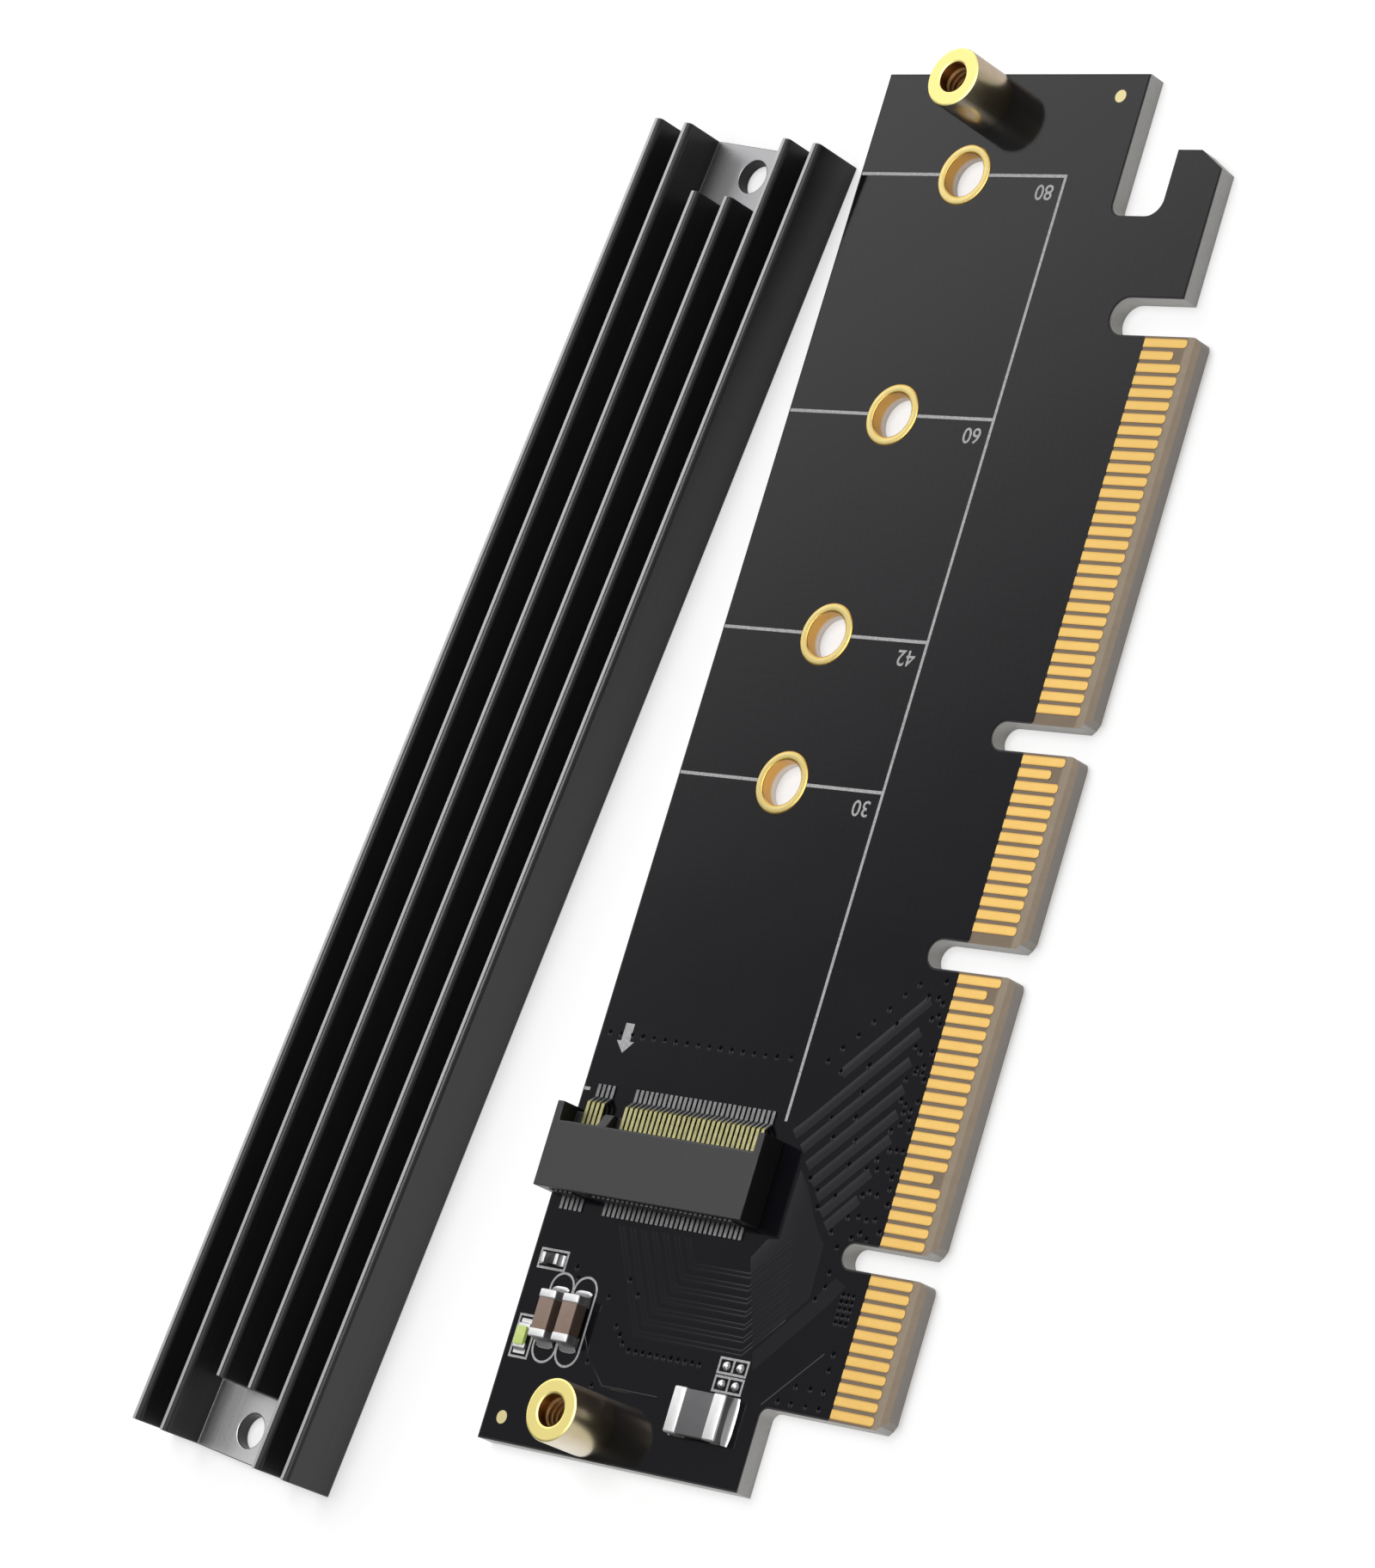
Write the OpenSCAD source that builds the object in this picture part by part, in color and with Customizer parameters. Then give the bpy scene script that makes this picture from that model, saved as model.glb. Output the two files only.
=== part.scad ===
// Adapter card that carries a solid state drive module in a long expansion
// slot, with its finned heatsink lifted off and laid flat beside it.
// Units are millimetres. The card lies on its underside at z = 0.
// Origin: the middle of the narrow key notch, on the contact edge, at the
// underside. +X runs along the contacts to the retention hook, +Y runs from
// the contact edge across the card, +Z points out of the component face.

/* [Board] */

// Length of the board, from its bracket end to its far end
board_l = 111.8; // [108:0.1:118]

// Width of the board, from the contact edge to the opposite edge
board_w = 38.5; // [38.2:0.1:44]

// Thickness of the bare laminate
laminate_t = 1.56; // [1.4:0.02:1.66]

// Thickness of the coating and of the metal lands, on each face
coat_t = 0.04; // [0.03:0.01:0.08]

// Bare strip of laminate that is left round the coating
coat_setback = 0.15; // [0.1:0.05:0.3]

// Distance from the key notch to the bracket end of the board
key_to_bracket_end = 18.5; // [18:0.1:20]

// Height of the bracket end's lower edge above the contact edge
bracket_rise = 11.8; // [10.5:0.1:12.5]

// Radius of the inner corner below the bracket end
bracket_fillet_r = 0.7; // [0.3:0.1:1.5]

/* [Edge contacts] */

// Distance between neighbouring contacts
contact_pitch = 1; // [0.98:0.01:1.02]

// Width of one contact
contact_w = 0.7; // [0.6:0.05:0.75]

// Length of a full contact, up to the coating
contact_l = 4.1; // [3.8:0.1:4.4]

// How much shorter a late contact is at its outer end
short_contact_step = 1; // [0.6:0.1:1.4]

// Bare laminate between the contact edge and the contact tips
contact_tip_gap = 1.15; // [0.9:0.05:1.4]

// Board left beside the first and last contact of a group, from its centre
group_margin = 0.55; // [0.45:0.05:0.6]

// Width of the key notch
key_notch_w = 1.9; // [1.85:0.05:1.95]

// Depth of the key notch
key_notch_depth = 8.45; // [8:0.05:9]

// Width of the two further notches between contact groups
spare_notch_w = 2.2; // [2:0.1:2.4]

// Depth of the two further notches
spare_notch_depth = 8.7; // [8:0.1:9]

// Length of the bevel on the contact edge, measured across the card
edge_bevel_l = 0.5; // [0.3:0.1:0.8]

// Depth of the bevel on each face
edge_bevel_t = 0.25; // [0.15:0.05:0.4]

// Size of the corner cut and of the corner radius of each contact group
group_corner = 0.8; // [0.5:0.1:1]

/* [Retention hook] */

// Width of the notch between the contacts and the hook
hook_notch_w = 3; // [2.6:0.1:3.4]

// Depth of the notch between the contacts and the hook
hook_notch_depth = 9.15; // [8.6:0.05:9.6]

// Length of the hook, from its notch to its tip
hook_l = 12.05; // [11.5:0.05:12.6]

// Height of the hook's lower edge above the contact edge
hook_rise = 2.65; // [2.2:0.05:3.2]

// Width of the hook's arm
hook_arm_w = 4.7; // [4.3:0.1:5.2]

// Length of the corner cut at the hook's tip, along the card
hook_cut_l = 1.5; // [1:0.1:2]

// Width of the corner cut at the hook's tip, across the card
hook_cut_w = 2.4; // [1.8:0.1:3]

// Width of the latch gap behind the hook's arm
latch_gap_w = 4.75; // [4.5:0.05:5.2]

// Depth of the latch gap, from the hook's tip
latch_gap_l = 5.45; // [5.2:0.05:6]

// Inner corner radius of the latch gap next to the hook's arm
latch_arm_r = 1.45; // [0.8:0.05:1.8]

// Inner corner radius of the latch gap next to the board
latch_board_r = 1; // [0.6:0.1:1.6]

/* [Module holes] */

// Distance of the module centre line from the long edge
module_inset = 10.75; // [10.7:0.05:11]

// Distance from the key notch to the seated module's contact edge
module_datum = 4.79; // [4.7:0.01:4.9]

// Radius of the four module fixing holes
module_hole_r = 1.84; // [1.7:0.02:2]

// Radius of the metal ring round a module hole
module_ring_r = 2.53; // [2.4:0.01:2.8]

// Wall of the metal lining in a module hole
lining_t = 0.1; // [0.06:0.02:0.2]

// How far the ring stands above the coating on the component face
ring_proud = 0.06; // [0.04:0.02:0.12]

// Largest module length that the card takes
module_l_80 = 80; // [79.9:0.1:80.1]

// Second module length
module_l_60 = 60; // [59.9:0.1:60.1]

// Third module length
module_l_42 = 42; // [41.9:0.1:42.1]

// Shortest module length
module_l_30 = 30; // [29.9:0.1:30.1]

/* [Standoffs] */

// Distance between the two standoffs, and between the heatsink's holes
standoff_spacing = 107; // [106.8:0.1:107.2]

// Distance from the bracket end to the first standoff
standoff_inset = 2.58; // [2.5:0.01:2.8]

// Radius of a standoff
standoff_r = 2.45; // [2.2:0.05:2.5]

// Height of a standoff above the coating
standoff_h = 4.4; // [3.5:0.1:6]

// Radius of the bore in a standoff
standoff_bore_r = 1.25; // [1.1:0.05:1.4]

// Radius of the shank that is pressed into the board
standoff_shank_r = 1.9; // [1.7:0.05:2.1]

// Small bevel on a standoff's edges
standoff_edge = 0.15; // [0.1:0.05:0.25]

/* [Module socket] */

// Width of the socket housing
socket_w = 21.4; // [21.3:0.05:21.5]

// Height of the socket housing
socket_h = 2.25; // [2.2:0.05:2.8]

// Distance from the key notch to the socket's rear wall
socket_rear = 0.8; // [0.7:0.05:1]

// Distance from the key notch to the front edge of the upper lip
socket_lip = 6.05; // [5.9:0.05:6.3]

// Distance from the key notch to the front of the lower lip
socket_sill = 7.2; // [7:0.05:7.3]

// Distance from the key notch to the front of the end walls
socket_front = 7.5; // [7.4:0.05:7.8]

// Width of the slot that takes the module
slot_w = 20; // [19.9:0.05:20.1]

// Height of the slot
slot_h = 1; // [0.95:0.01:1.05]

// Height of the slot's floor above the coating
slot_floor = 0.62; // [0.55:0.01:0.7]

// Distance from the module centre line to the slot's key rib
rib_offset = 6.125; // [6:0.025:6.25]

// Width of the slot's key rib
rib_w = 1; // [0.9:0.05:1.1]

// Distance between neighbouring socket contacts in a row
pin_pitch = 0.5; // [0.49:0.01:0.51]

// Width of a socket contact
pin_w = 0.3; // [0.22:0.01:0.34]

// Thickness of a socket contact
pin_t = 0.12; // [0.1:0.01:0.14]

// How far the front contacts run level past the lower lip
contact_reach = 0.85; // [0.5:0.05:1]

// Distance from the key notch to the outer ends of the front solder tails
tail_front = 9.65; // [9.4:0.05:10]

// Length of a front solder tail
tail_l = 1; // [0.7:0.05:1.1]

// Distance from the key notch back to the ends of the rear solder tails
tail_rear = 0.3; // [0.2:0.1:0.6]

// Radius of the thin locating peg
peg_small_r = 0.55; // [0.5:0.05:0.6]

// Radius of the thick locating peg
peg_large_r = 0.8; // [0.7:0.05:0.85]

// Distance between the two locating pegs
peg_spacing = 19.6; // [19.2:0.1:19.6]

// Length of a locating peg below the coating
peg_l = 1.2; // [0.9:0.1:1.3]

// Running room round a locating peg
peg_clearance = 0.05; // [0.03:0.01:0.1]

/* [Small parts] */

// Length of a capacitor
cap_l = 3.75; // [3.2:0.05:4]

// Width of a capacitor
cap_w = 1.68; // [1.5:0.02:1.8]

// Height of a capacitor
cap_h = 1.3; // [0.9:0.1:1.8]

// Length of a capacitor's metal end
cap_end_l = 0.7; // [0.4:0.05:0.9]

// Distance between the two capacitors' centre lines
cap_pitch = 2.42; // [2.3:0.02:2.5]

// Distance from the key notch back to the capacitors' middle
cap_back = 8.55; // [8.4:0.05:8.7]

// Distance of the outer capacitor's centre line beyond the module centre line
cap_offset = 6.75; // [6.6:0.05:6.85]

// Length of the fuse, across the card
fuse_l = 5.15; // [4.5:0.05:5.4]

// Width of the fuse, along the card
fuse_w = 3.55; // [3:0.05:3.6]

// Height of the fuse
fuse_h = 1.2; // [0.8:0.1:1.6]

// Length of a fuse's metal end
fuse_end_l = 1.25; // [0.8:0.05:1.4]

// Distance from the key notch back to the fuse's middle
fuse_back = 13.6; // [13.4:0.1:13.8]

// Place of the fuse between the bracket end's lower edge and the standoff
fuse_place_share = 0.378; // [0.37:0.002:0.42]

// Length of the signal light
lamp_l = 1.9; // [1.6:0.1:2]

// Width of the signal light
lamp_w = 1.2; // [1:0.05:1.25]

// Height of the signal light
lamp_h = 0.55; // [0.4:0.05:0.7]

// Length of a signal light's metal end
lamp_end_l = 0.3; // [0.25:0.05:0.4]

// Distance from the key notch back to the signal light's middle
lamp_back = 10.35; // [10.2:0.05:10.5]

// Distance of the signal light's middle beyond the module centre line
lamp_offset = 9.15; // [9.1:0.05:9.3]

// Length of the resistor, across the card
chip_l = 1.7; // [1.5:0.1:1.9]

// Width of the resistor, along the card
chip_w = 0.85; // [0.7:0.05:0.95]

// Height of the resistor
chip_h = 0.45; // [0.35:0.05:0.6]

// Length of a resistor's metal end
chip_end_l = 0.35; // [0.25:0.05:0.45]

// Distance from the key notch back to the resistor's middle
chip_back = 4.22; // [4:0.02:4.4]

// Distance of the resistor's middle beyond the module centre line
chip_offset = 8.48; // [8.3:0.02:8.6]

// Wall of the metal that wraps a small part's end
wrap_t = 0.05; // [0.03:0.01:0.07]

// Radius of the solder on an empty land
bump_r = 0.36; // [0.3:0.02:0.38]

// Height of the solder on an empty land
bump_h = 0.22; // [0.15:0.01:0.3]

// Distance between the empty lands of a pair, and between the two pairs
bump_pitch = 1.38; // [1.3:0.02:1.46]

// Distance from the key notch back to the middle of the empty lands
bump_back = 10.28; // [10.2:0.02:10.4]

// Distance from the fuse's middle down to the middle of the empty lands
bump_step = 1.34; // [1.1:0.02:1.4]

/* [Markings] */

// Thickness of the printed markings
print_t = 0.02; // [0.015:0.005:0.04]

// Width of the long printed lines
line_w = 0.26; // [0.2:0.02:0.34]

// Width of the thin printed outlines
outline_w = 0.18; // [0.12:0.02:0.22]

// Distance of the long printed line from the module centre line
field_half_w = 10.25; // [10:0.05:10.5]

// Radius of a round alignment mark
mark_r = 0.52; // [0.4:0.02:0.7]

// Length of the printed arrow
arrow_l = 2.35; // [2:0.05:2.6]

// Width of the printed arrow's head
arrow_w = 1.8; // [1.4:0.1:2]

/* [Heatsink] */

// Distance from a heatsink hole to the nearer end
heatsink_end = 2.5; // [2.3:0.1:3]

// Width of the heatsink
heatsink_w = 19.1; // [18.5:0.1:20]

// Full height of the heatsink
heatsink_h = 4.8; // [4.2:0.1:6]

// Thickness of the heatsink's base
heatsink_base_t = 1.4; // [1.2:0.1:2]

// Thickness of a fin
fin_t = 1; // [0.8:0.05:1.2]

// Distance from the centre line to the middle of each inner fin
inner_fin = 1.9; // [1.7:0.05:2.1]

// Distance from the centre line to the middle of each fin beside the pockets
middle_fin = 5.65; // [5.4:0.05:5.9]

// Bevel along the top edges of a fin
fin_bevel = 0.22; // [0.15:0.01:0.3]

// Length of the milled pocket at each end
pocket_l = 5.5; // [5:0.1:6.5]

// Depth of the milled pocket below the base's upper face
pocket_t = 0.2; // [0.1:0.05:0.4]

// Radius of a heatsink hole
heatsink_hole_r = 1.4; // [1.3:0.05:1.6]

// Distance from the key notch to the heatsink's middle, along the card
heatsink_x = 31.4; // [28:0.1:34]

// Gap between the card and the nearest corner of the heatsink
heatsink_gap = 2.1; // [1.5:0.1:6]

// Turn of the heatsink on the table, in degrees
heatsink_turn = 6.6; // [0:0.1:10]

/* [Hidden] */

// Faces in a full turn: round parts, and small radii
round_fn = 48;
small_fn = 24;

// Levels above the table
coat_back_top = coat_t;
laminate_top = laminate_t;
top = laminate_t + coat_t;

// How far a cutting shape runs past what it cuts
over = laminate_t;

// Contacts are numbered from the bracket end; the key notch follows this one
key_after = 11;
last_contact = 82;
// Contacts that the further notches take away, as first and last number
gap_one = [33, 35];
gap_two = [50, 52];
short_front = [17, 31, 48, 81];
short_back = [1];

// Middle of a contact, along the card. The key takes the room of two pitches,
// and its notch is in the middle of the step
key_step_share = 1.5;
function contact_x(n) = n <= key_after
    ? (n - key_after - key_step_share) * contact_pitch
    : (n - key_after - 1 + key_step_share) * contact_pitch;
function is_listed(n, list) = len([for (m = list) if (m == n) m]) > 0;
function is_cut(n) =
    (n >= gap_one[0] && n <= gap_one[1]) || (n >= gap_two[0] && n <= gap_two[1]);

// Ends of the board and of the groups of contacts
bracket_x = -key_to_bracket_end;
far_x = bracket_x + board_l;
group_start_x = contact_x(1) - group_margin;
notch_one_x = contact_x(gap_one[0] - 1) + group_margin;
notch_two_x = contact_x(gap_two[0] - 1) + group_margin;
hook_notch_x = contact_x(last_contact) + group_margin;
hook_x = hook_notch_x + hook_notch_w;
hook_tip_x = hook_x + hook_l;
latch_x = hook_tip_x - latch_gap_l;
latch_y = hook_rise + hook_arm_w;
far_rise = latch_y + latch_gap_w;
coat_edge_y = contact_tip_gap + contact_l;

// Lines across the card that the pieces on it are set out from
module_line = board_w - module_inset;
long_line = module_line - field_half_w;
cap_line = module_line + cap_offset;
lamp_line = module_line + lamp_offset;
chip_line = module_line + chip_offset;
fuse_line = bracket_rise + fuse_place_share * (module_line - standoff_r - bracket_rise);
bump_line = fuse_line - bump_step;

// Places of the fixing holes and standoffs
module_hole_xs = [for (l = [module_l_30, module_l_42, module_l_60, module_l_80])
    module_datum + l];
standoff_x = bracket_x + standoff_inset;
standoff_xs = [standoff_x, standoff_x + standoff_spacing];

// Contacts of the socket, counted in pitches from the module centre line.
// The rib's room is without contacts, and the front row sits half a pitch off
rear_pins = [for (i = [-18.5 : 1 : 9.5]) i];
rear_pins_far = [for (i = [14.5 : 1 : 18.5]) i];
front_pins = [for (i = [-18 : 1 : 10]) i];
front_pins_far = [for (i = [15 : 1 : 18]) i];
socket_top = top + socket_h;
slot_z = top + slot_floor;
slot_top = slot_z + slot_h;

// Lands reach this much past a small part's end
land_reach = wrap_t * 8;
fuse_mid = [-fuse_back, fuse_line];
lamp_mid = [-lamp_back, lamp_line];
chip_mid = [-chip_back, chip_line];
cap_outer_mid = [-cap_back, cap_line];
cap_inner_mid = [-cap_back, cap_line - cap_pitch];
part_z = top + coat_t;

// Heatsink
heatsink_l = standoff_spacing + 2 * heatsink_end;
outer_fin = (heatsink_w - fin_t) / 2;
heatsink_y = board_w + heatsink_gap + heatsink_w / 2 * cos(heatsink_turn)
    + heatsink_l / 2 * sin(heatsink_turn);

board_colour = [0.62, 0.57, 0.5];
coat_colour = [0.05, 0.05, 0.055];
gold_colour = [0.85, 0.66, 0.3];
brass_colour = [0.8, 0.66, 0.32];
print_colour = [0.8, 0.8, 0.8];
silver_colour = [0.8, 0.8, 0.8];

// Helpers for flat outlines

// A rectangle between two corners, drawn in by s on every side
module block(x0, y0, x1, y1, s) {
    translate([x0 + s, y0 + s]) square([x1 - x0 - 2 * s, y1 - y0 - 2 * s]);
}

// Fills an inner corner with a fillet. dx and dy point out of the board
module fillet(x, y, r, dx, dy) {
    translate([x, y]) scale([dx, dy]) difference() {
        square([r, r]);
        translate([r, r]) circle(r, $fn = round_fn);
    }
}

// A notch that runs in from the contact edge and ends in a half round
module notch(x0, w, depth, s) {
    r = w / 2 + s;
    translate([x0 + w / 2, depth - w / 2]) circle(r, $fn = round_fn);
    translate([x0 - s, -over]) square([2 * r, depth - w / 2 + over]);
}

// What is cut from the outer corners of one contact group: a straight cut on
// the bracket side, and a round on the hook side
module group_corners(x0, x1, s) {
    c = group_corner;
    translate([x0 + s, s]) polygon([[-over, -over], [c, -over], [c, 0], [0, c], [-over, c]]);
    translate([x1 - c, c]) difference() {
        translate([0, -c - over]) square([c + over, c + over]);
        circle(c - s, $fn = round_fn);
    }
}

// Outline of the board, drawn in by s all round
module board_outline(s) {
    difference() {
        union() {
            block(bracket_x, far_rise, far_x, board_w, s);
            block(bracket_x, bracket_rise, latch_x, board_w, s);
            block(group_start_x, 0, hook_notch_x, board_w, s);
            block(group_start_x, hook_rise, latch_x, board_w, s);
            block(hook_x, hook_rise, hook_tip_x, latch_y, s);
            fillet(group_start_x + s, bracket_rise + s, bracket_fillet_r + s, -1, -1);
            fillet(latch_x - s, latch_y - s, latch_arm_r + s, 1, 1);
            fillet(latch_x - s, far_rise + s, latch_board_r + s, 1, -1);
        }
        notch(-key_notch_w / 2, key_notch_w, key_notch_depth, s);
        notch(notch_one_x, spare_notch_w, spare_notch_depth, s);
        notch(notch_two_x, spare_notch_w, spare_notch_depth, s);
        notch(hook_notch_x, hook_notch_w, hook_notch_depth, s);
        group_corners(group_start_x, -key_notch_w / 2, s);
        group_corners(key_notch_w / 2, notch_one_x, s);
        group_corners(notch_one_x + spare_notch_w, notch_two_x, s);
        group_corners(notch_two_x + spare_notch_w, hook_notch_x, s);
        translate([hook_tip_x - s, hook_rise + s])
            polygon([[-hook_cut_l, 0], [-hook_cut_l, -over], [over, -over],
                [over, hook_cut_w], [0, hook_cut_w]]);
    }
}

// Holes that go through the board for linings, standoffs and pegs
module board_holes(lining_r) {
    for (x = module_hole_xs)
        translate([x, module_line]) circle(lining_r, $fn = round_fn);
    for (x = standoff_xs)
        translate([x, module_line]) circle(standoff_shank_r, $fn = round_fn);
    peg_places() circle($peg_r + peg_clearance, $fn = small_fn);
}

module peg_places() {
    for (side = [-1, 1]) {
        $peg_r = side < 0 ? peg_large_r : peg_small_r;
        translate([(socket_rear + socket_lip) / 2, module_line + side * peg_spacing / 2])
            children();
    }
}

// Board

module circuit_board() {
    color(board_colour) difference() {
        linear_extrude(laminate_t) difference() {
            board_outline(0);
            board_holes(module_hole_r + lining_t);
        }
        // The underside is sunk by the coating inside its rim
        translate([0, 0, -over]) linear_extrude(over + coat_t) board_outline(coat_setback);
        // Bevel on both faces of the contact edge
        for (up = [0, 1]) bevel_cut(up);
    }
}

module bevel_cut(up) {
    l = hook_notch_x - group_start_x;
    z = up > 0 ? laminate_t : 0;
    dz = up > 0 ? 1 : -1;
    translate([group_start_x - over, 0, z]) rotate([90, 0, 90])
        linear_extrude(l + 2 * over)
            polygon([[edge_bevel_l, 0], [0, -dz * edge_bevel_t], [-over, -dz * edge_bevel_t],
                [-over, dz * over], [edge_bevel_l, dz * over]]);
}

// Field of the coating: the outline, without the strip of the contacts
module coat_field(ring_cut_r) {
    difference() {
        board_outline(coat_setback);
        translate([group_start_x - over, -over])
            square([hook_notch_x + hook_notch_w / 2 - group_start_x + over, coat_edge_y + over]);
        board_holes(ring_cut_r);
    }
}

module coating_front() {
    color(coat_colour) translate([0, 0, laminate_top]) linear_extrude(coat_t) difference() {
        coat_field(module_ring_r);
        mark_places() circle(mark_r, $fn = small_fn);
    }
}

module coating_back() {
    color(coat_colour) linear_extrude(coat_t) coat_field(module_ring_r);
}

// One contact with its tip corners cut. It starts under the coating's edge
module edge_contact(n, late) {
    tip = contact_tip_gap + (late ? short_contact_step : 0);
    w = contact_w / 2;
    c = contact_w / 4;
    translate([contact_x(n), 0]) polygon([[-w, coat_edge_y], [-w, tip + c], [-w + c, tip],
        [w - c, tip], [w, tip + c], [w, coat_edge_y]]);
}

module contact_row(late) {
    for (n = [1 : last_contact]) if (!is_cut(n)) edge_contact(n, is_listed(n, late));
}

module edge_contacts_front() {
    color(gold_colour) translate([0, 0, laminate_top]) linear_extrude(coat_t)
        contact_row(short_front);
}

module edge_contacts_back() {
    color(gold_colour) linear_extrude(coat_t) contact_row(short_back);
}

// Lined holes: a tube with a ring on each face, one turned profile
module module_hole_linings() {
    r1 = module_hole_r;
    r2 = module_hole_r + lining_t;
    lip = laminate_top + coat_t + ring_proud;
    color(gold_colour) for (x = module_hole_xs)
        translate([x, module_line, 0]) rotate_extrude($fn = round_fn) polygon([
            [r1, 0], [module_ring_r, 0], [module_ring_r, coat_t], [r2, coat_t],
            [r2, laminate_top], [module_ring_r, laminate_top],
            [module_ring_r, lip - ring_proud], [module_ring_r - ring_proud, lip],
            [r1 + ring_proud, lip], [r1, lip - ring_proud]]);
}

module mark_places() {
    mark_inset = key_to_bracket_end / 10;
    translate([bracket_x + mark_inset, board_w - mark_inset]) children();
    translate([far_x - mark_inset, far_rise + mark_inset + mark_r]) children();
}

module alignment_marks() {
    color(gold_colour) translate([0, 0, laminate_top]) linear_extrude(coat_t)
        mark_places() circle(mark_r, $fn = small_fn);
}

// Printed lines and outlines on the component face

// A frame of line width w inside the given box
module frame_lines(size, w) {
    difference() {
        square(size, center = true);
        square([size[0] - 2 * w, size[1] - 2 * w], center = true);
    }
}

module stadium(l, w) {
    square([l - w, w], center = true);
    for (side = [-1, 1]) translate([side * (l - w) / 2, 0]) circle(w / 2, $fn = round_fn);
}

module arrow() {
    head = arrow_l * 0.4;
    polygon([[0, 0], [head, arrow_w / 2], [head, arrow_w / 4], [arrow_l, arrow_w / 4],
        [arrow_l, -arrow_w / 4], [head, -arrow_w / 4], [head, -arrow_w / 2]]);
}

module printed_lines() {
    field_x = tail_front - arrow_w / 3;
    last_x = module_hole_xs[3];
    cap_field = [cap_l + 2 * cap_w, cap_pitch + outline_w / 2];
    color(print_colour) translate([0, 0, top]) linear_extrude(print_t) {
        // Lower edge of the module's field
        translate([field_x, long_line - line_w / 2])
            square([last_x - field_x + line_w / 2, line_w]);
        // One line across the field at each module length
        difference() {
            for (x = module_hole_xs)
                translate([x - line_w / 2, long_line])
                    square([line_w, board_w - coat_setback - long_line]);
            for (x = module_hole_xs)
                translate([x, module_line]) circle(module_ring_r, $fn = round_fn);
        }
        // Short ticks where the field meets the socket
        translate([field_x, board_w - coat_setback - arrow_w / 3]) square([line_w, arrow_w / 3]);
        translate([module_datum + socket_front, chip_line - arrow_w / 3]) arrow();
        // Outlines round the small parts
        for (m = [cap_outer_mid, cap_inner_mid]) translate(m) difference() {
            stadium(cap_field[0], cap_field[1]);
            stadium(cap_field[0] - 2 * outline_w, cap_field[1] - 2 * outline_w);
            square([cap_l + 2 * land_reach + outline_w, cap_field[1] - 2 * outline_w], center = true);
        }
        translate(lamp_mid) frame_lines([lamp_l * 1.8, lamp_w * 1.65], outline_w);
        translate(chip_mid) rotate(90) frame_lines([chip_l * 1.74, chip_w * 1.9], outline_w);
        for (sx = [-1, 1]) for (sy = [-1, 1])
            translate([-bump_back + sx * bump_pitch / 2, bump_line + sy * bump_pitch / 2])
                frame_lines([bump_pitch - outline_w / 2, bump_pitch + outline_w], outline_w);
    }
}

// Metal lands under the small parts

module land_pair(l, w, end_l) {
    for (side = [-1, 1])
        translate([side * (l / 2 + (land_reach - end_l) / 2), 0])
            square([end_l + land_reach, w], center = true);
}

module component_lands() {
    color(silver_colour) translate([0, 0, top]) linear_extrude(coat_t) {
        translate(cap_outer_mid) land_pair(cap_l, cap_w, cap_end_l);
        translate(cap_inner_mid) land_pair(cap_l, cap_w, cap_end_l);
        translate(fuse_mid) rotate(90) land_pair(fuse_l, fuse_w, fuse_end_l);
        translate(lamp_mid) land_pair(lamp_l, lamp_w, lamp_end_l);
        translate(chip_mid) rotate(90) land_pair(chip_l, chip_w, chip_end_l);
    }
}

// A small part is a block with a thin metal cap over each end

module part_block(size) {
    translate([-size[0] / 2 + wrap_t, -size[1] / 2 + wrap_t, wrap_t])
        cube([size[0] - 2 * wrap_t, size[1] - 2 * wrap_t, size[2] - 2 * wrap_t]);
}

module part_ends(size, end_l) {
    difference() {
        for (side = [-1, 1])
            translate([side * (size[0] - end_l) / 2 - end_l / 2, -size[1] / 2, 0])
                cube([end_l, size[1], size[2]]);
        part_block(size);
    }
}

module place(mid, turn) {
    translate([mid[0], mid[1], part_z]) rotate(turn) children();
}

cap_size = [cap_l, cap_w, cap_h];
fuse_size = [fuse_l, fuse_w, fuse_h];
lamp_size = [lamp_l, lamp_w, lamp_h];
chip_size = [chip_l, chip_w, chip_h];

module outer_capacitor_body() {
    color([0.45, 0.36, 0.32]) place(cap_outer_mid, 0) part_block(cap_size);
}

module outer_capacitor_ends() {
    color(silver_colour) place(cap_outer_mid, 0) part_ends(cap_size, cap_end_l);
}

module inner_capacitor_body() {
    color([0.45, 0.36, 0.32]) place(cap_inner_mid, 0) part_block(cap_size);
}

module inner_capacitor_ends() {
    color(silver_colour) place(cap_inner_mid, 0) part_ends(cap_size, cap_end_l);
}

module fuse_body() {
    color([0.2, 0.2, 0.22]) place(fuse_mid, 90) part_block(fuse_size);
}

module fuse_ends() {
    color(silver_colour) place(fuse_mid, 90) part_ends(fuse_size, fuse_end_l);
}

module signal_lamp_body() {
    color([0.75, 0.85, 0.3]) place(lamp_mid, 0) part_block(lamp_size);
}

module signal_lamp_ends() {
    color(silver_colour) place(lamp_mid, 0) part_ends(lamp_size, lamp_end_l);
}

module resistor_body() {
    color([0.1, 0.1, 0.1]) place(chip_mid, 90) part_block(chip_size);
}

module resistor_ends() {
    color(silver_colour) place(chip_mid, 90) part_ends(chip_size, chip_end_l);
}

// Low domes of solder on the two pairs of empty lands. The dome is the cap of
// a ball, turned from its arc
module solder_bumps() {
    ball_r = (bump_r * bump_r + bump_h * bump_h) / (2 * bump_h);
    rim_angle = asin(bump_r / ball_r);
    steps = 4;
    color(silver_colour) for (sx = [-1, 1]) for (sy = [-1, 1])
        translate([-bump_back + sx * bump_pitch / 2, bump_line + sy * bump_pitch / 2, top])
            rotate_extrude($fn = small_fn) polygon(concat([[0, 0]],
                [for (i = [0 : steps]) let (a = rim_angle * (1 - i / steps))
                    [ball_r * sin(a), ball_r * cos(a) - ball_r + bump_h]]));
}

// Standoffs

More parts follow.
